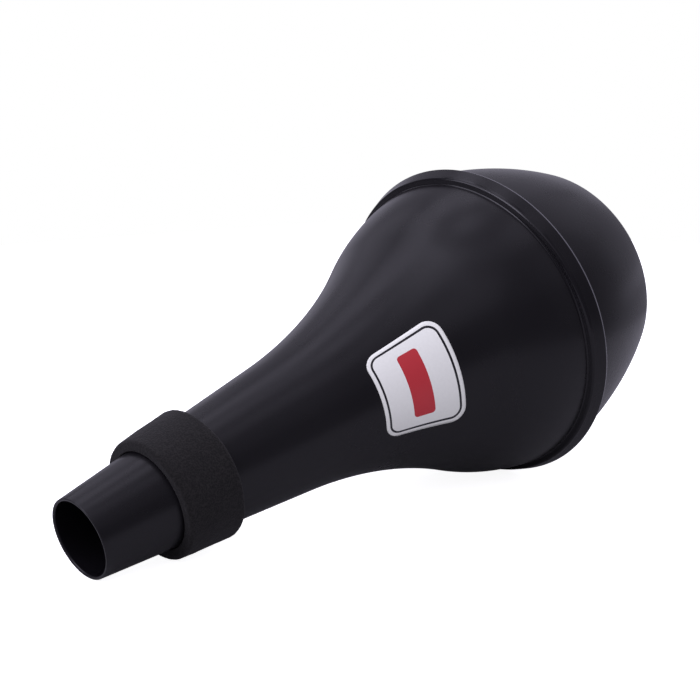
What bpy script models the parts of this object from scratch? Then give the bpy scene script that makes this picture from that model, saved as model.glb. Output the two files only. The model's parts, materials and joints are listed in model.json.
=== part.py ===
"""Practice mute for a baritone horn, lying on its mouth rim and the lip of its joint.

A thin moulded body runs from an open mouth through a conical neck and a flare to a round shoulder, and ends
in a lip. A domed end, moulded by itself, stands in the lip on a rebate and plugs into the body with a spigot,
and a wedge of cement holds it there. A foam strip, stuck round the neck with adhesive tape, seals the mute in
the bell's throat. Air leaves through small vents in the middle of the dome.

All the pieces are turned about one axis. Stations are measured along it from the mouth, in metres.
"""
import math

import bmesh
import bpy
from mathutils import Vector

STEPS = 48                           # facets round every turned piece
FIT = 0.0003                         # gap between pieces that touch

WALL = 0.0013                        # wall of both mouldings
MOUTH_RADIUS = 0.01575               # outside, at the open end
MOUTH_CHAMFER = 0.0005               # inside, at the open end
NECK_ANGLE = math.radians(6.74)      # of the neck's taper to the axis
NECK_LENGTH = 0.0969                 # of the straight taper
FLARE_RADIUS = 0.2033                # hollow curve from the neck to the shoulder
FLARE_ANGLE = math.radians(30.6)     # steepest slope, where the flare meets the shoulder
SHOULDER_RADIUS = 0.1042             # round curve that leads to the joint
JOINT_STATION = 0.2108               # crease where the lip starts

LIP_LENGTH = 0.0081                  # along the axis, from the crease to the lip's edge
LIP_RISE = 0.0052                    # from the crease out to the lip's edge
STEP_RISE = 0.0030                   # from the crease out to the front of the lip's band
STEP_ANGLE = math.radians(80)        # slope of the step that faces the mouth
STEP_FOOT_RADIUS = 0.0009            # hollow round at the foot of the step
STEP_CORNER_RADIUS = 0.0011          # round on top of the step
BAND_FRONT_ANGLE = math.radians(22)  # slope of the band where it leaves the step
LIP_EDGE_WIDTH = 0.0024              # flat end of the lip, up to the rebate
SEAT_DEPTH = 0.0030                  # of the rebate that takes the dome's rim
GLUE_ROOM = 0.0018                   # between the spigot and the body, at the rebate
GLUE_START = 0.25                    # share of the way from crease to rebate left free of cement
SPIGOT_LENGTH = 0.0066               # from the rim down into the body

DOME_SIDE_ANGLE = math.radians(6.3)  # taper of the dome's side where it leaves the lip
DOME_SIDE_RADIUS = 0.200             # gentle curve of that side
DOME_SIDE_LENGTH = 0.0588            # along the axis, from the lip to the dome's shoulder
DOME_SHOULDER_RADIUS = 0.0140
CROWN_RADIUS = 0.0815                # ball shape of the dome's end
VENT_COUNT = 3
VENT_RADIUS = 0.0015
VENT_CIRCLE = 0.0120                 # from the axis to each vent
VENT_FACETS = 12
VENT_CUTTER_LENGTH = 4 * WALL

FOAM_STATION = 0.0312                # front face of the sealing foam
FOAM_WIDTH = 0.0236
FOAM_THICKNESS = 0.0034
FOAM_EDGE = 0.0018                   # round of its two outer edges
FOAM_EDGE_LIMIT = 0.45               # of the foam's thickness, at most
TAPE_THICKNESS = 0.0004
TAPE_MARGIN = 0.0028                 # tape held back from the foam's two faces
SEAM_WIDTH = 0.0005                  # where the ends of the foam strip meet
SEAM_ANGLE = math.radians(90)        # round the axis from the underside

LABEL_STATION = 0.1415               # middle of the label
LABEL_LENGTH = 0.034                 # along the axis
LABEL_WIDTH = 0.040                  # round the body
LABEL_CORNER = 0.006
LABEL_ANGLE = math.radians(-101)     # round the axis from the underside
LABEL_THICKNESS = 0.0003

FLARE_POINTS = 9                     # steps along each curve of the body's section
SHOULDER_POINTS = 6
STEP_POINTS = 3
BAND_POINTS = 4
DOME_POINTS = (6, 3, 7)              # side, shoulder and crown of the dome, outside
DOME_INNER_POINTS = (5, 2, 6)
FOAM_EDGE_POINTS = 3

COLLECTION = "baritone_practice_mute"


def rounded(centre, radius, start, end, count):
    """Points (station, radius) of an arc whose angle is that of its outward normal from the radial line."""
    points = []
    for k in range(count + 1):
        angle = start + (end - start) * k / count
        points.append((centre[0] + radius * math.sin(angle), centre[1] + radius * math.cos(angle)))
    return points


def slope_at(centre, radius, station):
    """The normal's angle where an arc crosses a station."""
    return math.asin((station - centre[0]) / radius)


def neck_radius(station):
    """Outside of the neck."""
    return MOUTH_RADIUS + station * math.tan(NECK_ANGLE)


def flare_centre():
    """Centre of the hollow curve, outside the body."""
    return (NECK_LENGTH - FLARE_RADIUS * math.sin(NECK_ANGLE),
            neck_radius(NECK_LENGTH) + FLARE_RADIUS * math.cos(NECK_ANGLE))


def shoulder_centre():
    """Centre of the round curve, inside the body, which meets the flare at its steepest slope."""
    reach = FLARE_RADIUS + SHOULDER_RADIUS
    hollow = flare_centre()
    return (hollow[0] + reach * math.sin(FLARE_ANGLE), hollow[1] - reach * math.cos(FLARE_ANGLE))


def body_line(inset):
    """The body from the mouth to the joint, moved inwards by inset."""
    shoulder, radius = shoulder_centre(), SHOULDER_RADIUS - inset
    points = [(0.0, MOUTH_RADIUS - inset / math.cos(NECK_ANGLE))]
    points += rounded(flare_centre(), -(FLARE_RADIUS + inset), -NECK_ANGLE, -FLARE_ANGLE, FLARE_POINTS)
    end = slope_at(shoulder, radius, JOINT_STATION)
    points += rounded(shoulder, radius, -FLARE_ANGLE, end, SHOULDER_POINTS)[1:]
    return points


def radius_at(line, station):
    """Radius of a line of points at a station."""
    for (near, low), (far, high) in zip(line, line[1:]):
        if near <= station <= far:
            return low + (high - low) * (station - near) / (far - near)
    raise ValueError("the line does not reach that station")


def crease():
    """Where the outside of the shoulder ends and the lip starts."""
    return body_line(0.0)[-1]


def lip_edge():
    """Outer corner of the lip's free end."""
    return (JOINT_STATION + LIP_LENGTH, crease()[1] + LIP_RISE)


def lip_line():
    """Outside of the lip after the crease: a hollow foot, a steep step, a round corner and a band."""
    start, edge = crease(), lip_edge()
    shoulder_slope = slope_at(shoulder_centre(), SHOULDER_RADIUS, JOINT_STATION)
    centre = (start[0] + STEP_FOOT_RADIUS * math.sin(shoulder_slope),
              start[1] + STEP_FOOT_RADIUS * math.cos(shoulder_slope))
    foot = rounded(centre, -STEP_FOOT_RADIUS, shoulder_slope, -STEP_ANGLE, STEP_POINTS)
    corner_rise = STEP_CORNER_RADIUS * (math.cos(BAND_FRONT_ANGLE) - math.cos(STEP_ANGLE))
    riser = start[1] + STEP_RISE - corner_rise - foot[-1][1]
    top = (foot[-1][0] + riser / math.tan(STEP_ANGLE), foot[-1][1] + riser)
    centre = (top[0] + STEP_CORNER_RADIUS * math.sin(STEP_ANGLE),
              top[1] - STEP_CORNER_RADIUS * math.cos(STEP_ANGLE))
    corner = rounded(centre, STEP_CORNER_RADIUS, -STEP_ANGLE, -BAND_FRONT_ANGLE, STEP_POINTS)
    along, out = edge[0] - corner[-1][0], edge[1] - corner[-1][1]
    rear_angle = 2 * math.atan2(out, along) - BAND_FRONT_ANGLE
    sweep = along / (math.sin(BAND_FRONT_ANGLE) - math.sin(rear_angle))
    centre = (edge[0] + sweep * math.sin(rear_angle), edge[1] - sweep * math.cos(rear_angle))
    return foot[1:] + corner + rounded(centre, sweep, -BAND_FRONT_ANGLE, -rear_angle, BAND_POINTS)[1:]


def seat():
    """The rebate in the lip: the station of its floor and its radius."""
    edge = lip_edge()
    return (edge[0] - SEAT_DEPTH, edge[1] - LIP_EDGE_WIDTH)


def spigot_radius():
    """Outside of the spigot, which clears the narrowest part of the body that it stands in."""
    line = body_line(WALL)
    end = seat()[0] + FIT - SPIGOT_LENGTH
    beside = [radius_at(line, end)] + [radius for station, radius in line if station > end]
    return min(beside) - FIT


def rim_radius():
    """Outside of the dome's rim, which stands in the rebate."""
    return seat()[1] - FIT


def dome_arcs(inset):
    """Centre, radius and end angles of the dome's side, shoulder and crown, moved inwards by inset."""
    edge = lip_edge()[0]
    side_end = math.asin(math.sin(DOME_SIDE_ANGLE) + DOME_SIDE_LENGTH / DOME_SIDE_RADIUS)
    side = (edge - DOME_SIDE_RADIUS * math.sin(DOME_SIDE_ANGLE),
            rim_radius() - DOME_SIDE_RADIUS * math.cos(DOME_SIDE_ANGLE))
    step = DOME_SIDE_RADIUS - DOME_SHOULDER_RADIUS
    shoulder = (side[0] + step * math.sin(side_end), side[1] + step * math.cos(side_end))
    crown_start = math.acos(shoulder[1] / (CROWN_RADIUS - DOME_SHOULDER_RADIUS))
    crown = (shoulder[0] - (CROWN_RADIUS - DOME_SHOULDER_RADIUS) * math.sin(crown_start), 0.0)
    return ((side, DOME_SIDE_RADIUS - inset, DOME_SIDE_ANGLE, side_end),
            (shoulder, DOME_SHOULDER_RADIUS - inset, side_end, crown_start),
            (crown, CROWN_RADIUS - inset, crown_start, math.pi / 2))


def dome_line(inset, start_station, counts):
    """The dome from a station near its rim to its pole, moved inwards by inset."""
    side, shoulder, crown = dome_arcs(inset)
    start = slope_at(side[0], side[1], start_station)
    points = rounded(side[0], side[1], start, side[3], counts[0])
    points += rounded(*shoulder, counts[1])[1:]
    points += rounded(*crown, counts[2])[1:]
    points[-1] = (points[-1][0], 0.0)
    return points


def make_material(name, colour, roughness):
    """A Principled BSDF with the piece's own colour."""
    material = bpy.data.materials.new(name)
    material.use_nodes = True
    shader = material.node_tree.nodes["Principled BSDF"]
    shader.inputs["Base Color"].default_value = (*colour, 1.0)
    shader.inputs["Roughness"].default_value = roughness
    return material


def link_piece(name, mesh, rig, collection, material=None):
    """An object on the mute's axis, turned so that a facet and not a corner is lowest."""
    piece = bpy.data.objects.new(name, mesh)
    collection.objects.link(piece)
    piece.parent = rig
    piece.rotation_euler = (0.0, 0.0, math.pi / STEPS)
    if material:
        mesh.materials.append(material)
    return piece


def turned(name, outline, rig, collection, material, closed=True):
    """A turned piece: its section in the XZ plane, swept round the axis."""
    mesh = bpy.data.meshes.new(name)
    edges = [(k, k + 1) for k in range(len(outline) - 1)]
    if closed:
        edges.append((len(outline) - 1, 0))
    mesh.from_pydata([(radius, 0.0, station) for station, radius in outline], edges, [])
    piece = link_piece(name, mesh, rig, collection, material)
    screw = piece.modifiers.new("turn", "SCREW")
    screw.axis = "Z"
    screw.steps = STEPS
    screw.render_steps = STEPS
    screw.use_merge_vertices = True
    screw.merge_threshold = 0.00001
    screw.use_smooth_shade = True
    return piece


def cut(piece, cutter, name):
    """Takes a cutter out of a piece."""
    cutter.hide_render = True
    cutter.display_type = "WIRE"
    boolean = piece.modifiers.new(name, "BOOLEAN")
    boolean.operation = "DIFFERENCE"
    boolean.solver = "EXACT"
    boolean.object = cutter


def make_body_shell(rig, collection):
    """The moulded body: outside from the lip down to the mouth, then the inside back up to the rebate."""
    outside = body_line(0.0) + lip_line()
    inside = body_line(WALL)
    bore = inside[0][1]
    inside[0] = (MOUTH_CHAMFER, bore + MOUTH_CHAMFER * math.tan(NECK_ANGLE))
    floor, wall = seat()
    rebate = [(floor, spigot_radius() + GLUE_ROOM), (floor, wall), (lip_edge()[0], wall)]
    outline = outside[::-1] + [(0.0, bore + MOUTH_CHAMFER)] + inside + rebate
    black = make_material("black_moulded_body", (0.0116, 0.0110, 0.0144), 0.36)
    return turned("body_shell", outline, rig, collection, black)


def make_end_dome(rig, collection, cutters):
    """The domed end: outside from the pole down to the rim, the spigot, then the inside back to the pole."""
    under = seat()[0] + FIT
    spigot, rim = spigot_radius(), rim_radius()
    spigot_end = under - SPIGOT_LENGTH
    outside = dome_line(0.0, lip_edge()[0], DOME_POINTS)
    inside = dome_line(WALL, under + WALL, DOME_INNER_POINTS)
    plug = [(under, rim), (under, spigot), (spigot_end, spigot), (spigot_end, spigot - WALL),
            (under + WALL, spigot - WALL)]
    outline = outside[::-1] + plug + inside
    black = make_material("black_moulded_dome", (0.0124, 0.0118, 0.0152), 0.32)
    dome = turned("end_dome", outline, rig, collection, black, closed=False)
    sag = CROWN_RADIUS - math.sqrt(CROWN_RADIUS ** 2 - VENT_CIRCLE ** 2)
    wall_station = outside[-1][0] - sag - WALL / 2
    for k in range(VENT_COUNT):
        angle = 2 * math.pi * k / VENT_COUNT
        place = (VENT_CIRCLE * math.cos(angle), VENT_CIRCLE * math.sin(angle), wall_station)
        bpy.ops.mesh.primitive_cylinder_add(
            vertices=VENT_FACETS, radius=VENT_RADIUS, depth=VENT_CUTTER_LENGTH, location=place)
        cutter = bpy.context.object
        cutter.name = f"vent_cutter_{k + 1}"
        move_to(cutter, cutters)
        cutter.parent = rig
        cut(dome, cutter, f"vent_{k + 1}")
    return dome


def make_joint_cement(rig, collection):
    """The wedge of cement between the spigot and the body, under the dome's rim."""
    floor = seat()[0]
    inner = spigot_radius() + FIT
    body_end = body_line(WALL)[-1]
    mouth = (floor, spigot_radius() + GLUE_ROOM)
    start = JOINT_STATION + GLUE_START * (floor - JOINT_STATION)
    outline = [(floor, mouth[1] - FIT), (start, radius_at([body_end, mouth], start) - FIT),
               (start, inner), (floor, inner)]
    cement = make_material("dark_cement", (0.020, 0.018, 0.017), 0.45)
    return turned("joint_cement", outline, rig, collection, cement)


def make_seam_cutter(rig, cutters):
    """A thin slot that parts the ends of the foam strip and of the tape under it."""
    reach = 2 * FOAM_THICKNESS + neck_radius(FOAM_STATION + FOAM_WIDTH)
    bpy.ops.mesh.primitive_cube_add(size=1.0)
    cutter = bpy.context.object
    cutter.name = "seam_cutter"
    for corner in cutter.data.vertices:
        corner.co.x = (corner.co.x + 0.5) * reach
        corner.co.y *= SEAM_WIDTH
        corner.co.z *= 2 * FOAM_WIDTH
    move_to(cutter, cutters)
    cutter.parent = rig
    cutter.location = (0.0, 0.0, FOAM_STATION + FOAM_WIDTH / 2)
    cutter.rotation_euler = (0.0, 0.0, SEAM_ANGLE)
    return cutter


def make_foam_seal(rig, collection, seam):
    """The foam strip round the neck, with flat ends and rounded outer edges."""
    front, back = FOAM_STATION, FOAM_STATION + FOAM_WIDTH
    bed = 2 * FIT + TAPE_THICKNESS
    edge = min(FOAM_EDGE, FOAM_EDGE_LIMIT * FOAM_THICKNESS)

    def top(station):
        return neck_radius(station) + bed + FOAM_THICKNESS

    rear_centre = (back - edge, top(back - edge) - edge)
    fore_centre = (front + edge, top(front + edge) - edge)
    rear = rounded(rear_centre, edge, math.pi / 2, -NECK_ANGLE, FOAM_EDGE_POINTS)
    fore = rounded(fore_centre, edge, -NECK_ANGLE, -math.pi / 2, FOAM_EDGE_POINTS)
    outline = rear + fore + [(front, neck_radius(front) + bed), (back, neck_radius(back) + bed)]
    charcoal = make_material("charcoal_foam", (0.0165, 0.0160, 0.0170), 0.95)
    foam = turned("foam_seal", outline, rig, collection, charcoal)
    cut(foam, seam, "seam")
    return foam


def make_seal_tape(rig, collection, seam):
    """The adhesive tape under the foam, held back from its two faces."""
    front, back = FOAM_STATION + TAPE_MARGIN, FOAM_STATION + FOAM_WIDTH - TAPE_MARGIN
    low, high = FIT, FIT + TAPE_THICKNESS
    outline = [(back, neck_radius(back) + high), (front, neck_radius(front) + high),
               (front, neck_radius(front) + low), (back, neck_radius(back) + low)]
    film = make_material("black_adhesive_film", (0.020, 0.019, 0.018), 0.5)
    tape = turned("seal_tape", outline, rig, collection, film)
    cut(tape, seam, "seam")
    return tape


def make_label(rig, collection):
    """The label: a flat sheet with round corners, bent onto the flare and given its thickness."""
    line = body_line(0.0)
    middle = radius_at(line, LABEL_STATION)
    mesh = bpy.data.meshes.new("label")
    sheet = bmesh.new()
    bmesh.ops.create_grid(sheet, x_segments=8, y_segments=12, size=0.5)
    for point in sheet.verts:
        across, along = point.co.y * LABEL_WIDTH, point.co.x * LABEL_LENGTH
        over_x = max(0.0, abs(along) - (LABEL_LENGTH / 2 - LABEL_CORNER))
        over_y = max(0.0, abs(across) - (LABEL_WIDTH / 2 - LABEL_CORNER))
        far = max(over_x, over_y)
        if over_x > 0.0 and over_y > 0.0:
            shrink = far / math.hypot(over_x, over_y)
            along = math.copysign(abs(along) - over_x * (1 - shrink), along)
            across = math.copysign(abs(across) - over_y * (1 - shrink), across)
        station = LABEL_STATION + along
        angle = LABEL_ANGLE + across / middle
        radius = radius_at(line, station) + FIT
        point.co = (radius * math.cos(angle), radius * math.sin(angle), station)
    bmesh.ops.reverse_faces(sheet, faces=sheet.faces)
    sheet.to_mesh(mesh)
    sheet.free()
    white = make_material("label_white", (0.78, 0.78, 0.80), 0.30)
    label = link_piece("label", mesh, rig, collection, white)
    label.rotation_euler = (0.0, 0.0, 0.0)
    shell = label.modifiers.new("thickness", "SOLIDIFY")
    shell.thickness = LABEL_THICKNESS
    shell.offset = 1.0
    return label


def move_to(piece, collection):
    """Puts an object in one collection only."""
    for old in list(piece.users_collection):
        old.objects.unlink(piece)
    collection.objects.link(piece)


def lay_down(rig, pieces):
    """Tilts the axis so that the mouth's rim and the lip's edge touch the floor, then centres the mute."""
    edge = lip_edge()
    facet = math.cos(math.pi / STEPS)
    tilt = math.atan2((edge[1] - MOUTH_RADIUS) * facet, edge[0])
    rig.rotation_euler = (0.0, math.pi / 2 - tilt, 0.0)
    bpy.context.view_layer.update()
    graph = bpy.context.evaluated_depsgraph_get()
    low = Vector((math.inf,) * 3)
    high = Vector((-math.inf,) * 3)
    for piece in pieces:
        solid = piece.evaluated_get(graph)
        for vertex in solid.to_mesh().vertices:
            place = solid.matrix_world @ vertex.co
            low = Vector(map(min, low, place))
            high = Vector(map(max, high, place))
        solid.to_mesh_clear()
    rig.location = (-(low.x + high.x) / 2, -(low.y + high.y) / 2, -low.z)
    bpy.context.view_layer.update()
    print("tilt of the axis in degrees", round(math.degrees(tilt), 3))
    print("place of the mouth's centre", [round(value, 6) for value in rig.location])
    print("size", [round(value, 5) for value in high - low])


def main():
    for old in list(bpy.data.objects):
        bpy.data.objects.remove(old, do_unlink=True)
    pieces_home = bpy.data.collections.new(COLLECTION)
    cutters_home = bpy.data.collections.new("cutters")
    for home in (pieces_home, cutters_home):
        bpy.context.scene.collection.children.link(home)
    rig = bpy.data.objects.new("mute_axis", None)
    pieces_home.objects.link(rig)

    seam = make_seam_cutter(rig, cutters_home)
    pieces = [
        make_body_shell(rig, pieces_home),
        make_end_dome(rig, pieces_home, cutters_home),
        make_joint_cement(rig, pieces_home),
        make_foam_seal(rig, pieces_home, seam),
        make_seal_tape(rig, pieces_home, seam),
        make_label(rig, pieces_home),
    ]
    lay_down(rig, pieces)


main()
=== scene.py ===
# %% [markdown]
# # A practice mute for a baritone horn
# The mute is a hollow plastic bulb. Its open neck wears a ring of foam and is pushed into the horn's bell,
# so that the player is heard only faintly. Nearly every part of it is round, so this lesson draws the
# outline of each piece once and turns it about the mute's own axis, as a potter or a lathe would.
#
# ## The fixed frame
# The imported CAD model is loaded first. Its nodes stay where they are. The finer pieces made below take
# their places from it and stand in for it.

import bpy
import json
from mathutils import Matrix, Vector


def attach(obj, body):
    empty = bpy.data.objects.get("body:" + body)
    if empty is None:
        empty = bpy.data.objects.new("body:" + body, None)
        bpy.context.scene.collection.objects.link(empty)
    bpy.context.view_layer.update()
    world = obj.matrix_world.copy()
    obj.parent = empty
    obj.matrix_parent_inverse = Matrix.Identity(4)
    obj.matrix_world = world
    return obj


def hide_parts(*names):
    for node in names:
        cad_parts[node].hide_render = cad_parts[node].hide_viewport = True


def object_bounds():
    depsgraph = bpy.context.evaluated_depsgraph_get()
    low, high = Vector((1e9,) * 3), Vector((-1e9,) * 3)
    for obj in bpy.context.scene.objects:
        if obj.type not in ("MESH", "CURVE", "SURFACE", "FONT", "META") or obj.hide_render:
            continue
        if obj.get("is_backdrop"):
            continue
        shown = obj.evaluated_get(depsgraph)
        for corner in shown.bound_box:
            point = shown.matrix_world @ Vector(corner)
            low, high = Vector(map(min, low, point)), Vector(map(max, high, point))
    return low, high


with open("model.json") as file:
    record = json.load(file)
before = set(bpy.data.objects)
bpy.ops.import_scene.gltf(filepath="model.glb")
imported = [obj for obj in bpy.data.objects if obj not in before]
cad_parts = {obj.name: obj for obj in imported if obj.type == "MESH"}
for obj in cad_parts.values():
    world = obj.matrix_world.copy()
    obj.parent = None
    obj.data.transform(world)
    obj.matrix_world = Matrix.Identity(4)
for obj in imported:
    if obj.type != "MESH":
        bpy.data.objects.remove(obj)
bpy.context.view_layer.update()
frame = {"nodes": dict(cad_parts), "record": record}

# %% [markdown]
# ## Tools and units
# Blender counts in metres and radians. A drawing of the mute is easier to read in millimetres and degrees,
# so two factors turn the one into the other. The meshes are made with bmesh, which handles single vertices
# and edges, because an outline is drawn before there is any surface.

# %% Tools and units
import json
import math

import bmesh
import bpy
from mathutils import Matrix, Vector, noise
from mathutils.bvhtree import BVHTree

MM = 0.001
DEGREE = math.pi / 180
print("a millimetre is", MM, "m and a degree", round(DEGREE, 5), "radians")

# %% [markdown]
# ## The mute's own axis
# The mute lies on its side, so its axis is tilted. A lathe drawing is easier on a straight axis. Every
# piece is therefore drawn with its stations along X, from the mouth, and its radii up Z, and is laid down
# at the end. The record's mount gives the tilt: it is the face of the mouth, and its direction points out
# of the neck.

# %% Find the axis
mouth_face = frame["record"]["mounts"][0]
along = -Vector(mouth_face["axis"]).normalized()
mouth_centre = Vector((mouth_face["pos_m"][0], 0.0, mouth_face["pos_m"][2]))
across = Vector((0.0, 1.0, 0.0))
upward = along.cross(across)
lay_down = Matrix.Translation(mouth_centre) @ Matrix((along, across, upward)).transposed().to_4x4()
print("the axis rises by", round(math.degrees(math.asin(along.z)), 2), "degrees")

# %% [markdown]
# ## A pen for outlines
# An outline is a row of vertices joined by edges. The pen is its last vertex. A straight line extrudes the
# pen and moves the copy. An arc spins the pen round a centre, and the angle says how far. Corners are
# softened afterwards by a bevel of the vertex, because no moulded edge is perfectly sharp and only a round
# one catches the light.

# %% Draw lines and arcs
def draw_straight(bm, pen, station, radius, steps=1):
    """Draws a straight line from the pen and gives back its end, which is the new pen."""
    start, end = pen.co.copy(), Vector((station, 0.0, radius))
    for k in range(steps):
        pen = bmesh.ops.extrude_vert_indiv(bm, verts=[pen])["verts"][0]
        pen.co = start.lerp(end, (k + 1) / steps)
    return pen


def draw_arc(bm, pen, centre, turn, steps):
    """Swings the pen round a centre (station, radius) and gives back the arc's end."""
    swung = bmesh.ops.spin(bm, geom=[pen], cent=(centre[0], 0.0, centre[1]), axis=(0.0, 1.0, 0.0),
                           angle=turn, steps=steps, use_duplicate=False)
    return [part for part in swung["geom_last"] if isinstance(part, bmesh.types.BMVert)][0]


def draw_bend(bm, pen, heading, radius, new_heading, steps):
    """Carries the outline round a bend, from one heading to another, both measured up from the axis."""
    side = 1 if new_heading < heading else -1
    centre = (pen.co.x + side * radius * math.sin(heading), pen.co.z - side * radius * math.cos(heading))
    return draw_arc(bm, pen, centre, heading - new_heading, steps)


def soften(bm, corners, size, segments=3):
    """Rounds corners of an outline."""
    bmesh.ops.bevel(bm, geom=corners, offset=size, offset_type="OFFSET", segments=segments, profile=0.5,
                    affect="VERTICES", material=-1, clamp_overlap=True)


# %% [markdown]
# ## The lathe
# Spinning the outline's edges about the axis gives the skin. A full turn merges its last ring with its
# first. Where the outline touches the axis, all the copies of that vertex lie on one spot, and merging the
# doubles closes the pole. The normals are recalculated after that, so that every face looks outwards.

# %% Turn an outline about the axis
ROUND_STEPS = 240


def turn_on_axis(bm):
    """Spins the whole outline round the axis and closes the skin."""
    bmesh.ops.spin(bm, geom=bm.verts[:] + bm.edges[:], cent=(0.0, 0.0, 0.0), axis=(1.0, 0.0, 0.0),
                   angle=2 * math.pi, steps=ROUND_STEPS, use_merge=True, use_duplicate=False)
    bmesh.ops.remove_doubles(bm, verts=bm.verts, dist=0.001 * MM)
    bmesh.ops.recalc_face_normals(bm, faces=bm.faces)


# %% [markdown]
# ## From mesh to piece
# A finished piece is laid down on the mute's axis inside its mesh, so that its object stays at the origin.
# It rides on the frame's only body, and it replaces the plainer CAD node that it stands for. A weighted
# normal keeps the broad faces flat beside the small rounds, which would bend the reflections otherwise.

# %% Hand a piece to the frame
def make_piece(name, bm, material, node):
    """Lays a mesh down, shades it and puts it in the place of a CAD node."""
    bmesh.ops.transform(bm, matrix=lay_down, verts=bm.verts)
    open_edges = sum(not edge.is_manifold for edge in bm.edges)
    mesh = bpy.data.meshes.new(name)
    bm.to_mesh(mesh)
    bm.free()
    mesh.shade_smooth()
    mesh.materials.append(material)
    piece = bpy.data.objects.new(name, mesh)
    bpy.context.scene.collection.objects.link(piece)
    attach(piece, "root")
    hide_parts(node)
    print(name, len(mesh.polygons), "faces,", open_edges, "open edges")
    return piece


def keep_faces_flat(piece):
    """Weights the normals by the size of the faces."""
    flat = piece.modifiers.new("flat_faces", "WEIGHTED_NORMAL")
    flat.mode = "FACE_AREA"
    flat.keep_sharp = True


# %% [markdown]
# ## Colours and nodes
# A designer writes a colour as a hex code, as it looks on the screen. The renderer needs linear light. One
# function does that sum. A second one adds a node, with its settings and its links, and every material
# below is made with it.

# %% Colour and node helpers
def linear(code):
    """An sRGB hex code as linear red, green, blue and full opacity."""
    channels = [int(code[k:k + 2], 16) / 255 for k in (1, 3, 5)]
    return tuple(c / 12.92 if c <= 0.04045 else ((c + 0.055) / 1.055) ** 2.4 for c in channels) + (1.0,)


def add_node(tree, kind, inputs=None, **settings):
    """Adds a node. Its inputs are numbers, colours or the outputs of other nodes."""
    node = tree.nodes.new("ShaderNode" + kind)
    for name, value in settings.items():
        setattr(node, name, value)
    for name, value in (inputs or {}).items():
        if isinstance(value, bpy.types.NodeSocket):
            tree.links.new(value, node.inputs[name])
        else:
            node.inputs[name].default_value = value
    return node


def start_material(name):
    """A new material: its node tree and its shader."""
    material = bpy.data.materials.new(name)
    material.use_nodes = True
    return material, material.node_tree, material.node_tree.nodes["Principled BSDF"]


# %% [markdown]
# ## Zones of wear, and a painted highlight
# Hands and tables rub the bends of the body's lip, which are glossier than the rest and mirror the light in
# thin lines. The lip's edge is painted paler: a painted highlight, for the thin line of light that its round
# mirrors. Each zone lies between two stations, which are places measured along the axis, so a material
# finds it with one product of two vectors and needs no image mask.

# %% Find a zone of wear
SOFT_BORDER = 0.3 * MM


def between_stations(tree, place, low, high):
    """A factor of 1 between two stations and of 0 outside them, with soft borders."""
    station = add_node(tree, "VectorMath", {0: place, 1: along}, operation="DOT_PRODUCT").outputs["Value"]
    middle = mouth_centre.dot(along) + (low + high) / 2
    off = add_node(tree, "Math", {0: station, 1: middle}, operation="SUBTRACT").outputs["Value"]
    away = add_node(tree, "Math", {0: off}, operation="ABSOLUTE").outputs["Value"]
    half = (high - low) / 2
    return add_node(tree, "MapRange", {"Value": away, "From Min": half - SOFT_BORDER, "From Max": half,
                                       "To Min": 1.0, "To Max": 0.0}).outputs["Result"]


rubbed_bends = [(210.6 * MM, 213.6 * MM), (217.4 * MM, 221.0 * MM)]
# the lip's edge is painted paler between these two stations, as a painted highlight
highlight_painted_edge = (217.9 * MM, 219.5 * MM)
print("the lip has", len(rubbed_bends), "rubbed bends, and its edge is scuffed from",
      round(highlight_painted_edge[0] / MM, 1), "to", round(highlight_painted_edge[1] / MM, 1), "mm")

# %% [markdown]
# ## Satin moulded plastic
# Both shells are injection moulded from a black styrene plastic. The mould was blasted with fine grit,
# which leaves a satin skin: highlights are broad and soft, and slightly bluish beside the warm black. Where
# the melt cooled at different speeds the gloss differs a little, in patches of some 30 mm. The grit's own
# grain is about 0.1 mm, too fine to show here, so it is drawn at 0.5 mm and very shallow.

# %% Make the plastic
PATCH_SIZE, GRAIN_SIZE = 30 * MM, 0.5 * MM
# the third colour is a painted highlight, laid on the lip's edge
PLASTIC_DARK, PLASTIC_PALE, PLASTIC_HIGHLIGHT_PAINTED = "#0d0c0e", "#110f13", "#5b5a5e"
RUBBED_GLOSS = 0.6


def satin_plastic(name, gloss_low, gloss_high, rubbed=(), highlight_painted=None):
    """Black moulded plastic with an uneven satin gloss: glossier between pairs of stations, paler as a
    painted highlight between two.
    """
    material, tree, shader = start_material(name)
    place = add_node(tree, "TexCoord").outputs["Object"]
    patches = add_node(tree, "TexNoise", {"Vector": place, "Scale": 1 / PATCH_SIZE, "Detail": 3.0,
                                          "Roughness": 0.55}).outputs["Fac"]
    rough = add_node(tree, "MapRange", {"Value": patches, "From Min": 0.3, "From Max": 0.7,
                                        "To Min": gloss_low, "To Max": gloss_high}).outputs["Result"]
    for low, high in rubbed:
        rub = add_node(tree, "MapRange", {"Value": between_stations(tree, place, low, high),
                                          "To Min": 1.0, "To Max": RUBBED_GLOSS}).outputs["Result"]
        rough = add_node(tree, "Math", {0: rough, 1: rub}, operation="MULTIPLY").outputs["Value"]
    tint = add_node(tree, "Mix", {"Factor": patches, "A": linear(PLASTIC_DARK), "B": linear(PLASTIC_PALE)},
                    data_type="RGBA").outputs["Result"]
    # the paler colour mixed in here is a painted highlight on the lip's edge
    if highlight_painted:
        tint = add_node(tree, "Mix", {"Factor": between_stations(tree, place, *highlight_painted), "A": tint,
                                      "B": linear(PLASTIC_HIGHLIGHT_PAINTED)}, data_type="RGBA").outputs["Result"]
    grain = add_node(tree, "TexNoise", {"Vector": place, "Scale": 1 / GRAIN_SIZE, "Detail": 2.0})
    bump = add_node(tree, "Bump", {"Height": grain.outputs["Fac"], "Strength": 0.25, "Distance": 0.02 * MM})
    tree.links.new(tint, shader.inputs["Base Color"])
    tree.links.new(rough, shader.inputs["Roughness"])
    tree.links.new(bump.outputs["Normal"], shader.inputs["Normal"])
    shader.inputs["IOR"].default_value = 1.5
    shader.inputs["Specular IOR Level"].default_value = 0.35
    return material


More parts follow.
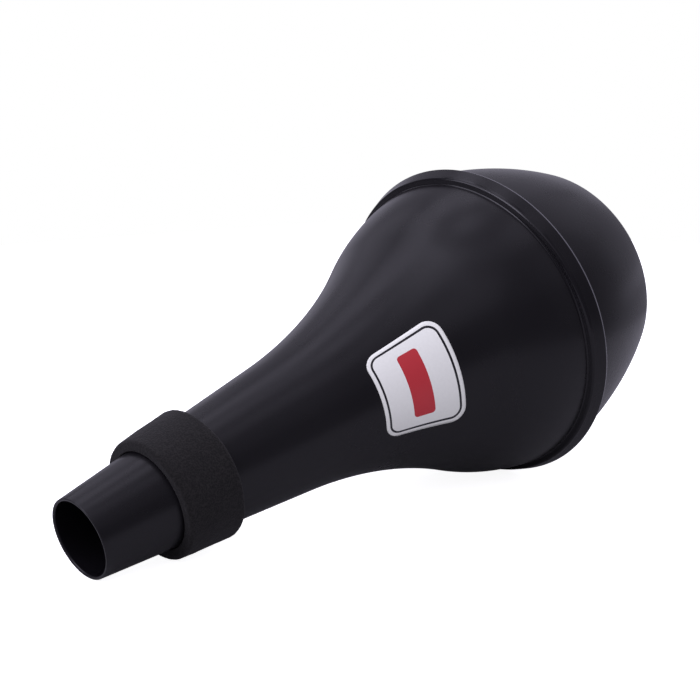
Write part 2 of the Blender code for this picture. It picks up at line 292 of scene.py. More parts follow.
moulded_body = satin_plastic("satin_moulded_plastic_body", 0.26, 0.31, rubbed_bends, highlight_painted_edge)
moulded_dome = satin_plastic("satin_moulded_plastic_dome", 0.25, 0.29)
print("made", moulded_body.name, "and", moulded_dome.name)

# %% [markdown]
# ## The sizes of the two mouldings
# The scene can't read the CAD source, so the sizes are repeated here. Both mouldings have one wall
# thickness all over, as moulded parts do, because thick spots sink while they cool.

# %% Sizes
fit = 0.3 * MM
wall = 1.3 * MM
mouth_radius = 15.75 * MM
neck_angle = 6.74 * DEGREE
neck_length = 96.9 * MM
flare_radius = 203.3 * MM
flare_angle = 30.6 * DEGREE
shoulder_radius = 104.2 * MM
joint_station = 210.8 * MM


def neck_radius(station):
    """Outside of the tapered neck."""
    return mouth_radius + station * math.tan(neck_angle)


flare_centre = (neck_length - flare_radius * math.sin(neck_angle),
                neck_radius(neck_length) + flare_radius * math.cos(neck_angle))
reach = flare_radius + shoulder_radius
shoulder_centre = (flare_centre[0] + reach * math.sin(flare_angle),
                   flare_centre[1] - reach * math.cos(flare_angle))


def slope_at(centre, radius, station):
    """The angle of an arc's normal to the radial line where the arc crosses a station."""
    return math.asin((station - centre[0]) / radius)


def height_at(centre, radius, station):
    """The radius about the axis where an arc crosses a station."""
    return centre[1] + radius * math.cos(slope_at(centre, radius, station))


print("the neck ends", round(neck_radius(neck_length) / MM, 1), "mm from the axis")

# %% [markdown]
# ## The body shell
# The outside starts at the mouth. The neck is a straight taper, a hollow arc flares it, and a round arc
# leads over the shoulder to a crease.

# %% Draw the outside of the body
TAPER_STEPS, FLARE_STEPS, SHOULDER_STEPS = 40, 42, 20

body = bmesh.new()
mouth_outside = body.verts.new((0.0, 0.0, mouth_radius))
pen = draw_straight(body, mouth_outside, neck_length, neck_radius(neck_length), TAPER_STEPS)
pen = draw_arc(body, pen, flare_centre, neck_angle - flare_angle, FLARE_STEPS)
crease = joint_station + 0.2 * MM
crease_slope = slope_at(shoulder_centre, shoulder_radius, crease)
pen = draw_arc(body, pen, shoulder_centre, flare_angle + crease_slope, SHOULDER_STEPS)
lip_foot = height_at(shoulder_centre, shoulder_radius, joint_station)
print("the crease is", round(pen.co.z / MM, 2), "mm from the axis")

# %% [markdown]
# ## Chains of bends
# The profile of a moulded edge is a chain of bends: each starts with the heading that the last one ended
# with. How far a chain reaches is known before it is drawn. So the whole lip can be given its size first,
# and the straight lines between two chains get the lengths that are left over.

# %% Measure and draw a chain of bends
def reach_of(heading, bends):
    """How far a chain of bends goes along the axis and away from it."""
    total = Vector((0.0, 0.0))
    for radius, new_heading, _ in bends:
        outward = Vector((math.sin(heading) - math.sin(new_heading),
                          math.cos(new_heading) - math.cos(heading)))
        total += radius * outward * (1 if new_heading < heading else -1)
        heading = new_heading
    return total


def draw_bends(bm, pen, heading, bends):
    """Draws a chain of bends and gives back its end."""
    for radius, new_heading, steps in bends:
        pen = draw_bend(bm, pen, heading, radius, new_heading, steps)
        heading = new_heading
    return pen


# %% [markdown]
# ## The lip
# Behind the crease stands the lip, which stiffens the joint and is what the mute rests on. A hollow bend
# leads up to a steep step, and a round bend takes the step over into a band that leans outwards to a
# rounded edge. Each of the two bends is widest where it mirrors the panels above the mouth's side, in one
# thin bright line. Two straight lines lie between the chains, the step and the band, and two equations, one
# along the axis and one away from it, give their lengths.

# %% Draw the lip
lip_length, lip_rise, lip_overhang = 8.1 * MM, 5.0 * MM, 0.3 * MM
step_angle, band_angle = 80 * DEGREE, 21 * DEGREE
# every bend has a radius, the heading that it ends with, and a number of steps
to_step = [(0.4 * MM, 38 * DEGREE, 3), (1.3 * MM, 62 * DEGREE, 5), (0.3 * MM, step_angle, 2)]
over_step = [(0.4 * MM, 62 * DEGREE, 2), (2.0 * MM, 38 * DEGREE, 6), (0.8 * MM, band_angle, 3)]
edge_front = [(0.8 * MM, 0.0, 3)]
edge_back = [(0.8 * MM, -12 * DEGREE, 3), (3.2 * MM, -29 * DEGREE, 7), (0.3 * MM, -90 * DEGREE, 7)]

lip_end, lip_radius = joint_station + lip_length, lip_foot + lip_rise
to_go = Vector((lip_end + lip_overhang, lip_radius)) - pen.co.xz
to_go -= reach_of(-crease_slope, to_step)
to_go -= reach_of(step_angle, over_step)
to_go -= reach_of(band_angle, edge_front) + Vector((reach_of(0.0, edge_back).x, 0.0))
between = math.sin(step_angle - band_angle)
step_length = (to_go.y * math.cos(band_angle) - to_go.x * math.sin(band_angle)) / between
band_length = (to_go.x * math.sin(step_angle) - to_go.y * math.cos(step_angle)) / between
print("the step is", round(step_length / MM, 2), "mm and the band", round(band_length / MM, 2), "mm long")

pen = draw_bends(body, pen, -crease_slope, to_step)
pen = draw_straight(body, pen, pen.co.x + step_length * math.cos(step_angle),
                    pen.co.z + step_length * math.sin(step_angle))
pen = draw_bends(body, pen, step_angle, over_step)
pen = draw_straight(body, pen, pen.co.x + band_length * math.cos(band_angle),
                    pen.co.z + band_length * math.sin(band_angle), 4)
pen = draw_bends(body, pen, band_angle, edge_front + edge_back)
print("the lip's radius is", round(lip_radius / MM, 2), "mm")
print("its edge is", round(pen.co.x / MM, 2), "mm from the mouth")

# %% [markdown]
# ## The rebate and the inside
# The flat end of the lip has a rebate, a step cut into its inside, where the rim of the dome will stand.
# From there the inside follows the outside back to the mouth, one wall further in, with the same centres.

# %% Draw the inside and turn the body
lip_edge_width, seat_depth, glue_room, spigot_length = 2.2 * MM, 3.0 * MM, 1.8 * MM, 6.6 * MM
mouth_inner_round, mouth_outer_round, seat_round = 0.85 * MM, 0.25 * MM, 0.2 * MM
seat_floor, seat_radius = lip_end - seat_depth, lip_radius - lip_edge_width
spigot_end = seat_floor + fit - spigot_length
inner_shoulder = shoulder_radius - wall
spigot_radius = height_at(shoulder_centre, inner_shoulder, spigot_end) - fit

lip_inside = draw_straight(body, pen, lip_end, seat_radius)
seat_corner = draw_straight(body, lip_inside, seat_floor, seat_radius)
pen = draw_straight(body, seat_corner, seat_floor, spigot_radius + glue_room)
inner_slope = slope_at(shoulder_centre, inner_shoulder, joint_station)
pen = draw_straight(body, pen, joint_station, height_at(shoulder_centre, inner_shoulder, joint_station))
pen = draw_arc(body, pen, shoulder_centre, -flare_angle - inner_slope, SHOULDER_STEPS)
pen = draw_arc(body, pen, flare_centre, flare_angle - neck_angle, FLARE_STEPS)
mouth_inside = draw_straight(body, pen, 0.0, mouth_radius - wall / math.cos(neck_angle), TAPER_STEPS)
body.edges.new((mouth_inside, mouth_outside))
soften(body, [mouth_inside], mouth_inner_round, 5)
soften(body, [mouth_outside], mouth_outer_round)
soften(body, [lip_inside], seat_round)
turn_on_axis(body)
body_tree = BVHTree.FromBMesh(body)
body_shell = make_piece("body_shell_moulding", body, moulded_body, "body_shell")
keep_faces_flat(body_shell)

# %% [markdown]
# ## The arcs of the dome
# The far end is a moulding of its own. Its gently curved side leaves the lip, bends over a tight shoulder,
# and ends in a shallow crown. These are three arcs that run smoothly into one another. Two arcs do so when
# their centres and the place where they meet lie on one line, and that gives the centres here.

# %% Find the arcs of the dome
dome_side_angle, dome_side_radius, dome_side_length = 6.3 * DEGREE, 200 * MM, 58.8 * MM
dome_shoulder_radius, crown_radius = 14.0 * MM, 81.5 * MM
rim_radius = seat_radius - fit
side_end = math.asin(math.sin(dome_side_angle) + dome_side_length / dome_side_radius)
side_centre = (lip_end - dome_side_radius * math.sin(dome_side_angle),
               rim_radius - dome_side_radius * math.cos(dome_side_angle))
step_in = dome_side_radius - dome_shoulder_radius
bend_centre = (side_centre[0] + step_in * math.sin(side_end), side_centre[1] + step_in * math.cos(side_end))
crown_start = math.acos(bend_centre[1] / (crown_radius - dome_shoulder_radius))
crown_centre = (bend_centre[0] - (crown_radius - dome_shoulder_radius) * math.sin(crown_start), 0.0)
pole = crown_centre[0] + crown_radius
under_rim = seat_floor + fit
print("the mute is", round(pole / MM, 1), "mm long on its axis")

# %% [markdown]
# ## The end dome
# Under its rim the dome has a spigot, a short tube that plugs into the body and gives the cement a place to
# hold. The outline runs from the middle of the crown out to the rim and back along the inside, so both of
# its ends lie on the axis and the lathe closes them.

# %% Draw the dome
CROWN_STEPS, BEND_STEPS, SIDE_STEPS = 60, 10, 30

dome = bmesh.new()
pen = dome.verts.new((pole, 0.0, 0.0))
pen = draw_arc(dome, pen, crown_centre, crown_start - math.pi / 2, CROWN_STEPS)
pen = draw_arc(dome, pen, bend_centre, side_end - crown_start, BEND_STEPS)
pen = draw_arc(dome, pen, side_centre, dome_side_angle - side_end, SIDE_STEPS)
rim_corner = draw_straight(dome, pen, under_rim, rim_radius)
pen = draw_straight(dome, rim_corner, under_rim, spigot_radius)
spigot_outside = draw_straight(dome, pen, spigot_end, spigot_radius)
spigot_inside = draw_straight(dome, spigot_outside, spigot_end, spigot_radius - wall)
pen = draw_straight(dome, spigot_inside, under_rim + wall, spigot_radius - wall)
inner_side = dome_side_radius - wall
inner_start = slope_at(side_centre, inner_side, under_rim + wall)
pen = draw_straight(dome, pen, under_rim + wall, height_at(side_centre, inner_side, under_rim + wall))
pen = draw_arc(dome, pen, side_centre, side_end - inner_start, SIDE_STEPS)
pen = draw_arc(dome, pen, bend_centre, crown_start - side_end, BEND_STEPS)
pen = draw_arc(dome, pen, crown_centre, math.pi / 2 - crown_start, CROWN_STEPS)
soften(dome, [spigot_outside, spigot_inside], 0.3 * MM)
turn_on_axis(dome)
print("the dome has", len(dome.faces), "faces before it is drilled")

# %% [markdown]
# ## Drills for the vents
# The player's air has to leave somewhere. Three small holes are drilled round the middle of the crown. Each
# drill is a circle that is extruded along the axis, from inside the dome to well outside it.

# %% Make the drills
vent_count, vent_radius, vent_circle = 3, 1.5 * MM, 12.0 * MM
drill_depth, drill_length, drill_sides = 6 * MM, 10 * MM, 32
drills = bmesh.new()
for k in range(vent_count):
    angle = 2 * math.pi * k / vent_count
    ring = bmesh.ops.create_circle(drills, cap_ends=True, radius=vent_radius, segments=drill_sides,
                                   matrix=Matrix.Rotation(math.pi / 2, 4, "Y"))
    centre = Vector((pole - drill_depth, vent_circle * math.sin(angle), -vent_circle * math.cos(angle)))
    bmesh.ops.translate(drills, vec=centre, verts=ring["verts"])
    faces = list({face for vertex in ring["verts"] for face in vertex.link_faces})
    top = bmesh.ops.extrude_face_region(drills, geom=faces, use_keep_orig=True)["geom"]
    far_ring = [part for part in top if isinstance(part, bmesh.types.BMVert)]
    bmesh.ops.translate(drills, vec=(drill_length, 0.0, 0.0), verts=far_ring)
bmesh.ops.recalc_face_normals(drills, faces=drills.faces)
print("made", vent_count, "drills of", round(2 * vent_radius / MM, 1), "mm")

# %% [markdown]
# ## The vents
# A hole through both skins of a wall is a Boolean cut. It is applied at once, so no cutter stays in the
# scene. The edges of the holes stay sharp, as a drill leaves them.

# %% Drill the vents
def plain_object(name, bm):
    """A helper object that is removed again."""
    mesh = bpy.data.meshes.new(name)
    bm.to_mesh(mesh)
    bm.free()
    helper = bpy.data.objects.new(name, mesh)
    bpy.context.scene.collection.objects.link(helper)
    return helper


blank, drill = plain_object("dome_blank", dome), plain_object("vent_drills", drills)
drilling = blank.modifiers.new("drilling", "BOOLEAN")
drilling.operation, drilling.solver, drilling.object = "DIFFERENCE", "EXACT", drill
drilled = bmesh.new()
drilled.from_object(blank, bpy.context.evaluated_depsgraph_get())
for helper in (blank, drill):
    bpy.data.objects.remove(helper)
end_dome = make_piece("end_dome_moulding", drilled, moulded_dome, "end_dome")
end_dome.data.set_sharp_from_angle(angle=40 * DEGREE)
keep_faces_flat(end_dome)

# %% [markdown]
# ## Foam
# The seal is cut from a sheet of closed-cell rubber foam. The cells that the knife opened make a fine,
# matt, charcoal grain. It is drawn with cells of 0.6 mm, clumped by a noise of 0.9 mm, which is as fine as
# the picture can show. Foam has no gloss, but its cut cell walls scatter light at the edges of the shape,
# which the sheen gives.

# %% Make the foam's material
CELL_SIZE, CLUMP_SIZE, CLOUD_SIZE = 0.6 * MM, 0.9 * MM, 9 * MM


def cell_foam(name):
    """Matt charcoal foam with open cut cells."""
    material, tree, shader = start_material(name)
    place = add_node(tree, "TexCoord").outputs["Object"]
    cells = add_node(tree, "TexVoronoi", {"Vector": place, "Scale": 1 / CELL_SIZE}, feature="F1")
    clumps = add_node(tree, "TexNoise", {"Vector": place, "Scale": 1 / CLUMP_SIZE, "Detail": 3.0,
                                         "Roughness": 0.75})
    clouds = add_node(tree, "TexNoise", {"Vector": place, "Scale": 1 / CLOUD_SIZE, "Detail": 2.0})
    depth = add_node(tree, "Math", {0: cells.outputs["Distance"], 1: clumps.outputs["Fac"]},
                     operation="ADD").outputs["Value"]
    shade = add_node(tree, "MapRange", {"Value": depth, "From Min": 0.75, "From Max": 1.25,
                                        "To Min": 0.0, "To Max": 1.0}).outputs["Result"]
    colour = add_node(tree, "Mix", {"Factor": shade, "A": linear("#0a0909"), "B": linear("#1f1d1c")},
                      data_type="RGBA").outputs["Result"]
    cloudy = add_node(tree, "Mix", {"Factor": clouds.outputs["Fac"], "A": linear("#8c8c8c"),
                                    "B": linear("#ffffff")}, data_type="RGBA").outputs["Result"]
    mixed = add_node(tree, "Mix", {"Factor": 0.5, "A": colour, "B": cloudy},
                     data_type="RGBA", blend_type="MULTIPLY")
    bump = add_node(tree, "Bump", {"Height": depth, "Strength": 0.8, "Distance": 0.12 * MM})
    tree.links.new(mixed.outputs["Result"], shader.inputs["Base Color"])
    tree.links.new(bump.outputs["Normal"], shader.inputs["Normal"])
    shader.inputs["Roughness"].default_value = 0.95
    shader.inputs["Specular IOR Level"].default_value = 0.25
    shader.inputs["Sheen Weight"].default_value = 0.06
    shader.inputs["Sheen Roughness"].default_value = 0.6
    return material


charcoal_foam = cell_foam("closed_cell_charcoal_foam")
print("made", charcoal_foam.name)

# %% [markdown]
# ## The section of the foam
# The strip's two outer edges are rounded, because foam gives way under the knife and wears first there. At
# both faces a lap of foam reaches past the tape and closes down on the neck. The long lines of the section
# are divided after the bevel, so that the foam has enough vertices to be uneven.

# %% Draw the section of the foam
foam_station, foam_width, foam_thickness, foam_round = 31.2 * MM, 23.6 * MM, 3.4 * MM, 1.3 * MM
tape_thickness, foam_lap, foam_step = 0.4 * MM, 2.3 * MM, 0.5 * MM
foam_back = foam_station + foam_width
bed = 2 * fit + tape_thickness


def over_neck(station, height):
    """A place at a height over the neck."""
    return station, neck_radius(station) + height


foam = bmesh.new()
front_bed = foam.verts.new((foam_station, 0.0, neck_radius(foam_station) + fit))
front_top = draw_straight(foam, front_bed, *over_neck(foam_station, bed + foam_thickness))
back_top = draw_straight(foam, front_top, *over_neck(foam_back, bed + foam_thickness))
back_bed = draw_straight(foam, back_top, *over_neck(foam_back, fit))
pen = back_bed
for station, height in ((foam_back - foam_lap, fit), (foam_back - foam_lap, bed),
                        (foam_station + foam_lap, bed), (foam_station + foam_lap, fit)):
    pen = draw_straight(foam, pen, *over_neck(station, height))
foam.edges.new((pen, front_bed))
soften(foam, [front_top, back_top], foam_round, 6)
soften(foam, [front_bed, back_bed], 0.3 * MM)
for edge in foam.edges[:]:
    cuts = int(edge.calc_length() / foam_step)
    if cuts:
        bmesh.ops.subdivide_edges(foam, edges=[edge], cuts=cuts)
print("the foam's section has", len(foam.verts), "vertices")

# %% [markdown]
# ## The foam seal
# The strip is stuck round the neck, and its two ends meet in a seam. So its section isn't spun the whole
# way round: a narrow gap stays on the hidden side, and both ends are closed with a face.

# %% Turn the section round the neck
seam_width, seam_turn = 0.5 * MM, -90 * DEGREE
half_seam = 0.5 * seam_width / neck_radius(foam_station)
bmesh.ops.rotate(foam, cent=(0.0, 0.0, 0.0), verts=foam.verts,
                 matrix=Matrix.Rotation(seam_turn + half_seam, 3, "X"))
bmesh.ops.spin(foam, geom=foam.verts[:] + foam.edges[:], cent=(0.0, 0.0, 0.0), axis=(1.0, 0.0, 0.0),
               angle=2 * (math.pi - half_seam), steps=ROUND_STEPS, use_duplicate=False)
bmesh.ops.holes_fill(foam, edges=[edge for edge in foam.edges if edge.is_boundary])
bmesh.ops.recalc_face_normals(foam, faces=foam.faces)
foam_across = 2 * over_neck(foam_back, bed + foam_thickness)[1]
print("the foam is", round(foam_across / MM, 1), "mm across at its back")

# %% [markdown]
# ## An uneven strip
# Foam that was cut and wrapped by hand is never quite even. Each vertex moves along its normal by two
# noises: broad ones of 14 mm from the wrapping, and small ones of 2 mm from the cut. The face that lies on
# the tape stays still.

# %% Make the foam uneven
WRAP_WAVE, CUT_WAVE = 14 * MM, 2 * MM


def uneven(bm, broad, small, keep_below):
    """Moves the vertices of a skin along their normals, apart from those near its bed."""
    for vertex in bm.verts:
        height = math.hypot(vertex.co.y, vertex.co.z) - neck_radius(vertex.co.x)
        free = min(1.0, max(0.0, (height - keep_below) / MM))
        wave = broad * noise.noise(vertex.co / WRAP_WAVE) + small * noise.noise(vertex.co / CUT_WAVE)
        vertex.co += vertex.normal * wave * free


foam.normal_update()
uneven(foam, broad=0.30 * MM, small=0.08 * MM, keep_below=bed + 0.2 * MM)
foam_seal = make_piece("foam_seal_strip", foam, charcoal_foam, "foam_seal")

# %% [markdown]
# ## Print from a formula
# The label's print is made of rounded rectangles. A picture of it would be as sharp as its pixels. A formula
# is as sharp as print at any size: the distance to a rounded rectangle, which is below zero inside it. It
# is the distance to a smaller rectangle, less the radius of the corners.

# %% Measure the distance to a rounded box
def round_box(tree, place, length, width, corner):
    """Distance in mm to a rounded rectangle in the middle of the label, below zero inside it."""
    core = (length / 2 - corner, width / 2 - corner, 0.0)
    folded = add_node(tree, "VectorMath", {0: place}, operation="ABSOLUTE").outputs["Vector"]
    beyond = add_node(tree, "VectorMath", {0: folded, 1: core}, operation="SUBTRACT").outputs["Vector"]
    outside = add_node(tree, "VectorMath", {0: beyond, 1: (0.0, 0.0, 0.0)},
                       operation="MAXIMUM").outputs["Vector"]
    far = add_node(tree, "VectorMath", {0: outside}, operation="LENGTH").outputs["Value"]
    return add_node(tree, "Math", {0: far, 1: corner}, operation="SUBTRACT").outputs["Value"]


# %% [markdown]
# ## A printed film
# The label is a polyester film with a silvery white ground, printed in black and red and varnished. The
# print is plain: a thin black frame and one red bar, both with round corners. The distances are measured in
# millimetres on the label's own UV map, so the print bends with the film.

# %% Make the label's material
label_length, label_width, label_corner = 34 * MM, 40 * MM, 6 * MM
# the print's sizes are in mm: length, width and corner of each box, and half the width of the frame's line
frame_box, bar_box, frame_half_line = (30.0, 36.0, 4.2), (9.0, 27.0, 1.5), 0.45


def printed_film(name):
    """Silvery white varnished film with a black frame and a red bar."""
    material, tree, shader = start_material(name)
    flat = add_node(tree, "UVMap", uv_map="label_print").outputs["UV"]
    centred = add_node(tree, "VectorMath", {0: flat, 1: (0.5, 0.5, 0.0)},
                       operation="SUBTRACT").outputs["Vector"]
    in_mm = add_node(tree, "VectorMath", {0: centred, 1: (label_length / MM, label_width / MM, 0.0)},
                     operation="MULTIPLY").outputs["Vector"]
    to_frame = round_box(tree, in_mm, *frame_box)
    frame_ink = add_node(tree, "Math", {0: to_frame, 1: 0.0, 2: frame_half_line},
                         operation="COMPARE").outputs["Value"]
    to_bar = round_box(tree, in_mm, *bar_box)
    bar_ink = add_node(tree, "Math", {0: to_bar, 1: 0.0}, operation="LESS_THAN").outputs["Value"]
    fibres = add_node(tree, "TexNoise", {"Vector": in_mm, "Scale": 0.8, "Detail": 3.0}).outputs["Fac"]
    ground = add_node(tree, "Mix", {"Factor": fibres, "A": linear("#e3e5db"), "B": linear("#ebede3")},
                      data_type="RGBA").outputs["Result"]
    with_bar = add_node(tree, "Mix", {"Factor": bar_ink, "A": ground, "B": linear("#b82c33")},
                        data_type="RGBA").outputs["Result"]
    inked = add_node(tree, "Mix", {"Factor": frame_ink, "A": with_bar, "B": linear("#18171b")},
                     data_type="RGBA").outputs["Result"]
    bump = add_node(tree, "Bump", {"Height": fibres, "Strength": 0.15, "Distance": 0.05 * MM})
    tree.links.new(inked, shader.inputs["Base Color"])
    tree.links.new(bump.outputs["Normal"], shader.inputs["Normal"])
    shader.inputs["Roughness"].default_value = 0.32
    shader.inputs["IOR"].default_value = 1.5
    return material


label_film = printed_film("varnished_label_film")
print("made", label_film.name)

# %% [markdown]
# ## The flat label
# The film starts flat, as one face whose four corners are rounded by a bevel. Planes cut it into a fine
# net, so that it can bend. Its print coordinates are stored while it is still flat.

# %% Cut out the label
label_station, label_turn = 141.5 * MM, 79 * DEGREE
label_lift, label_thickness = 0.05 * MM, 0.15 * MM

label = bmesh.new()
bmesh.ops.create_grid(label, x_segments=1, y_segments=1, size=0.5)
bmesh.ops.scale(label, vec=(label_length, label_width, 1.0), verts=label.verts)
soften(label, label.verts[:], label_corner, 8)
for normal, side in (((1.0, 0.0, 0.0), label_length), ((0.0, 1.0, 0.0), label_width)):
    count = round(side / MM)
    for k in range(1, count):
        spot = Vector(normal) * (k / count - 0.5) * side
        bmesh.ops.bisect_plane(label, geom=label.verts[:] + label.edges[:] + label.faces[:],
                               dist=0.0001 * MM, plane_co=spot, plane_no=normal)
uv = label.loops.layers.uv.new("label_print")
for face in label.faces:
    for loop in face.loops:
        loop[uv].uv = (loop.vert.co.x / label_length + 0.5, loop.vert.co.y / label_width + 0.5)
print("the label has", len(label.faces), "faces")

# %% [markdown]
# ## The label on the flare
# For each vertex, a ray from far outside towards the axis finds the body's skin, and the vertex is set on
# it: the label follows the flare, however the flare is shaped. A modifier gives the film its thickness.

# %% Bend the label onto the body
middle = body_tree.ray_cast(Vector((label_station, 0.0, 1.0)), Vector((0.0, 0.0, -1.0)))[0].z
for vertex in label.verts:
    outward = Matrix.Rotation(label_turn + vertex.co.y / middle, 3, "X") @ Vector((0.0, 0.0, 1.0))
    station = Vector((label_station + vertex.co.x, 0.0, 0.0))
    skin = body_tree.ray_cast(station + outward, -outward)[0]
    vertex.co = skin + outward * label_lift
bmesh.ops.recalc_face_normals(label, faces=label.faces)
label.normal_update()
first_face = label.faces[:][0]
if first_face.normal.dot(first_face.calc_center_median() * Vector((0.0, 1.0, 1.0))) < 0:
    bmesh.ops.reverse_faces(label, faces=label.faces)
label_sheet = make_piece("label_sheet", label, label_film, "label")
film = label_sheet.modifiers.new("film_thickness", "SOLIDIFY")
film.thickness, film.offset = label_thickness, 1.0

# %% [markdown]
# ## Cement and tape
# The wedge of cement in the joint and the tape under the foam are hidden for the most part. Their CAD
# shapes are right, so those nodes stay and only get a finish. The cement was a thick solution of the same
# plastic: it dried dark, with a rippled skin. The tape is a black film on a web of fibres.

# %% Finish the two CAD nodes
def rippled_cement(name):
    """Dark cement with ripples of about 2 mm from drying."""
    material, tree, shader = start_material(name)
    place = add_node(tree, "TexCoord").outputs["Object"]
    ripples = add_node(tree, "TexNoise", {"Vector": place, "Scale": 1 / (2 * MM),
                                          "Detail": 3.0}).outputs["Fac"]
    colour = add_node(tree, "Mix", {"Factor": ripples, "A": linear("#1d1b1b"), "B": linear("#2b2928")},
                      data_type="RGBA")
    bump = add_node(tree, "Bump", {"Height": ripples, "Strength": 0.6, "Distance": 0.3 * MM})
    tree.links.new(colour.outputs["Result"], shader.inputs["Base Color"])
    tree.links.new(bump.outputs["Normal"], shader.inputs["Normal"])
    shader.inputs["Roughness"].default_value = 0.45
    return material


def adhesive_tape(name):
    """Black film with a web of fibres about 0.8 mm apart."""
    material, tree, shader = start_material(name)
    place = add_node(tree, "TexCoord").outputs["Object"]
    web = add_node(tree, "TexVoronoi", {"Vector": place, "Scale": 1 / (0.8 * MM)}, feature="DISTANCE_TO_EDGE")
    colour = add_node(tree, "Mix", {"Factor": web.outputs["Distance"], "A": linear("#2b2a29"),
                                    "B": linear("#1c1b1b")}, data_type="RGBA")
    bump = add_node(tree, "Bump", {"Height": web.outputs["Distance"], "Strength": 0.4, "Distance": 0.1 * MM})
    tree.links.new(colour.outputs["Result"], shader.inputs["Base Color"])
    tree.links.new(bump.outputs["Normal"], shader.inputs["Normal"])
    shader.inputs["Roughness"].default_value = 0.55
    return material


for node, finish in (("joint_cement", rippled_cement("dried_cement")),
                     ("seal_tape", adhesive_tape("black_tape"))):
    for holder in frame["nodes"][node].material_slots:
        holder.material = finish
    print(node, "has", finish.name)

# %% [markdown]
# ## The camera
# The camera stands low beside the open mouth and looks along the mute, with a lens of about 68 mm. Its
# place was worked out from the outline and the rings in the photograph.

# %% Set up the camera
camera_place = (-0.3918, -0.3848, 0.1581)
camera_look = Vector((0.69335, 0.70099, -0.16658))

camera_data = bpy.data.cameras.new("studio_camera")
camera_data.lens, camera_data.sensor_width = 68.39, 36.0
camera_data.clip_start, camera_data.clip_end = 0.02, 50.0
camera = bpy.data.objects.new("studio_camera", camera_data)
bpy.context.scene.collection.objects.link(camera)
camera.location = camera_place
camera.rotation_euler = camera_look.to_track_quat("-Z", "Y").to_euler()
bpy.context.scene.camera = camera
print("the camera stands", round(camera.location.length, 2), "m from the frame's origin")

# %% [markdown]
# ## Table and background
# In the photograph the background is pure white, and the mute's belly still mirrors a table that ends about
# 60 cm away, with the dark room behind it. So two flat sheets lie under the mute. The table is what the
# plastic mirrors, and the camera doesn't see it. It is painted a light grey, because the bounce from a
# white one makes the belly too bright. The sweep is what the camera sees: it glows, so that it stays white,
# and keeps a faint shadow of the mute.

# %% Lay the table and the sweep
def lay_sheet(name, half_side, height, paint, glow):
    """A flat matt sheet under the mute, which is no part of it."""
    material, tree, shader = start_material(name)
    shader.inputs["Base Color"].default_value = linear(paint)
    shader.inputs["Roughness"].default_value = 0.9
    shader.inputs["Specular IOR Level"].default_value = 0.0
    shader.inputs["Emission Color"].default_value = linear("#ffffff")
    shader.inputs["Emission Strength"].default_value = glow
    flat = bmesh.new()
    bmesh.ops.create_grid(flat, x_segments=1, y_segments=1, size=half_side)
    bmesh.ops.translate(flat, vec=(0.0, 0.0, height), verts=flat.verts)
    mesh = bpy.data.meshes.new(name)
    flat.to_mesh(mesh)
    flat.free()
    mesh.materials.append(material)
    sheet = bpy.data.objects.new(name, mesh)
    bpy.context.scene.collection.objects.link(sheet)
    sheet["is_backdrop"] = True
    print(name, "lies at a height of", round(height / MM, 2), "mm")
    return sheet


table_half, table_gap, sweep_half, sweep_gap, sweep_glow = 0.6, 0.5 * MM, 1.2, 0.1 * MM, 0.9
visual_low, visual_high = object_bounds()
table = lay_sheet("white_table", table_half, visual_low.z - table_gap, "#a6a6a6", 0.0)
table.visible_camera = False
sweep = lay_sheet("white_sweep", sweep_half, visual_low.z - sweep_gap, "#f0f0f0", sweep_glow)
sweep.visible_diffuse = sweep.visible_glossy = sweep.visible_shadow = False

# %% [markdown]
# ## A tent of soft panels
# The light comes from a tent of large panels round and above the mute, as product photographers use. Each
# panel is an area lamp that faces the mute. Its brightness is set from the reflections in the photograph:
# strong overhead and behind, weak at the sides, nearly dark at the height of the table. The bright ones in
# the side ring stand above the mouth's side. Only the bends of the lip mirror them, in two thin lines, as
# in the photograph.

# %% Hang the panels
scene = bpy.context.scene
scene.view_settings.view_transform = "Standard"
middle_of_mute = Vector((0.0, 0.0, 0.07))
panel_distance = 1.5
cool_light = (1.0, 0.96, 1.17)


def hang_panel(name, azimuth, elevation, wide, tall, brightness):
    """An area lamp in a direction from the mute. Its sides are angles, so that a ring of panels closes."""
    width = 2 * panel_distance * math.tan(wide * DEGREE / 2) * math.cos(elevation * DEGREE)
    height = 2 * panel_distance * math.tan(tall * DEGREE / 2)
    lamp = bpy.data.lights.new(name, "AREA")
    lamp.shape, lamp.size, lamp.size_y = "RECTANGLE", width, height
    lamp.energy = brightness * width * height
    lamp.color = cool_light
    panel = bpy.data.objects.new(name, lamp)
    scene.collection.objects.link(panel)
    direction = Matrix.Rotation(azimuth * DEGREE, 3, "Z") @ Vector((math.cos(elevation * DEGREE), 0.0,
                                                                    math.sin(elevation * DEGREE)))
    panel.location = middle_of_mute + direction * panel_distance
    panel.rotation_euler = direction.to_track_quat("Z", "Y").to_euler()
    panel.visible_camera = False
    return panel


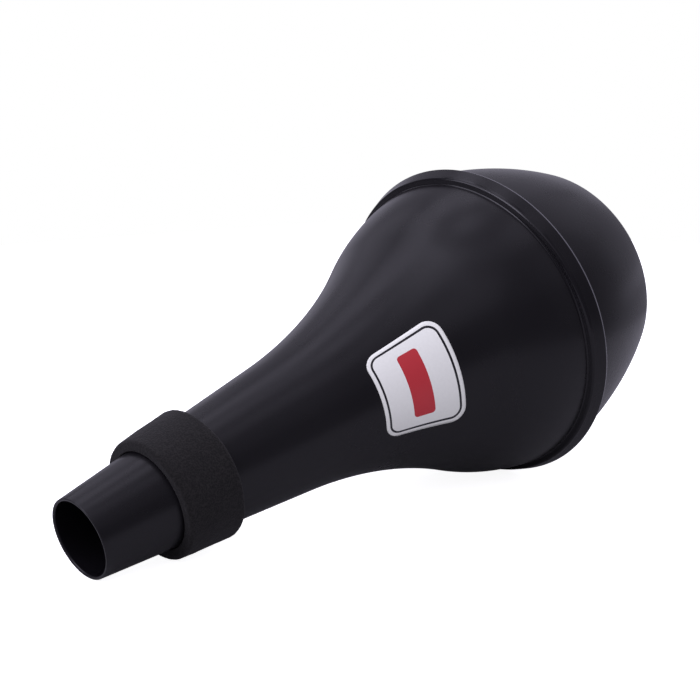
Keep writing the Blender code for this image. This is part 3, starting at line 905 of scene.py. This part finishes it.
rings = {
    # name: elevation and height in degrees, then the brightness of each panel from azimuth 0 onwards
    "low": (12, 24, [0.47, 0.93, 1.15, 0, 0, 0, 0.44, 0, 0.21, 0, 0.25, 0]),
    "side": (38, 26, [0.68, 0.70, 0.65, 1.70, 0, 7.0, 12.0, 2.0, 1.36, 0.27, 0.66, 0.26]),
    "top": (63, 18, [1.82, 2.49, 2.59, 2.87, 3.64, 4.05, 4.38, 3.02, 1.32, 1.17, 1.79, 1.36]),
    "ceiling": (81, 18, [1.19, 1.49, 1.60, 1.73, 0.92, 0.90]),
}
for ring, (elevation, tall, brightness) in rings.items():
    for k, value in enumerate(brightness):
        if value:
            wide = 360 / len(brightness)
            hang_panel(f"{ring}_{k}", 360 * k / len(brightness), elevation, wide, tall, value)
hang_panel("far", azimuth=2, elevation=-1, wide=34, tall=12, brightness=0.42)

# %% [markdown]
# ## The room
# Behind the white sweep the camera sees a white room. What the plastic mirrors of it is nearly dark. The
# matt things, the label and the foam, are lit by it from all round, as by the bounce from white walls.

# %% Paint the room
mirrored_room, bounced_room = 0.138, 0.62
scene.world = bpy.data.worlds.new("studio")
scene.world.use_nodes = True
room = scene.world.node_tree
backdrop = room.nodes["Background"]
rays = add_node(room, "LightPath").outputs
colour = add_node(room, "Mix", {"Factor": rays["Is Camera Ray"], "A": (*cool_light, 1.0),
                                "B": (1.0, 1.0, 1.0, 1.0)}, data_type="RGBA")
bounce = add_node(room, "MapRange", {"Value": rays["Is Diffuse Ray"], "To Min": mirrored_room,
                                     "To Max": bounced_room})
strength = add_node(room, "MapRange", {"Value": rays["Is Camera Ray"], "To Min": bounce.outputs["Result"],
                                       "To Max": 1.0})
room.links.new(colour.outputs["Result"], backdrop.inputs["Color"])
room.links.new(strength.outputs["Result"], backdrop.inputs["Strength"])
print("the plastic mirrors a room of", mirrored_room, "and matt things are lit by one of", bounced_room)

# %% [markdown]
# ## Sizes
# The box of the finer model is printed. It differs from the CAD's own box by less than half a millimetre,
# because the finer lip has a rounded edge.

# %% Print the sizes
visual_low, visual_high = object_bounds()
print("the visual box is", [round(side / MM, 1) for side in visual_high - visual_low], "mm")
